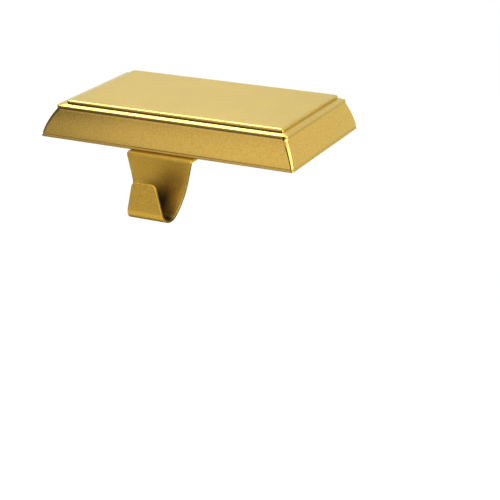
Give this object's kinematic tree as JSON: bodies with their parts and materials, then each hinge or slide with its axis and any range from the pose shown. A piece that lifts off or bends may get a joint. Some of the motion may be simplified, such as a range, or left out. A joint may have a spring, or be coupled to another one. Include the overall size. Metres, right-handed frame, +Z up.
{
  "type": "mantel stocking holder",
  "caption": "Moulded rectangular block that stands on a mantel shelf, with a tapered strip hook bent down over the shelf's front edge to hang a stocking from.",
  "frame": {"origin": "middle of the foot's underside, where the block meets the mantel shelf", "axes": "+X along the block's length, -Y towards the room, +Z up from the shelf"},
  "size_m": [0.1298, 0.0895, 0.0432],
  "materials": {
    "gold_casting": "satin gold plating on a fine cast surface",
    "gold_strip": "satin gold plating on a bent strip",
    "screw_steel": "plain plated steel"
  },
  "bodies": {
    "root": {"block": "gold_casting", "hook": "gold_strip", "hook_screws": "screw_steel"}
  },
  "joints": []
}
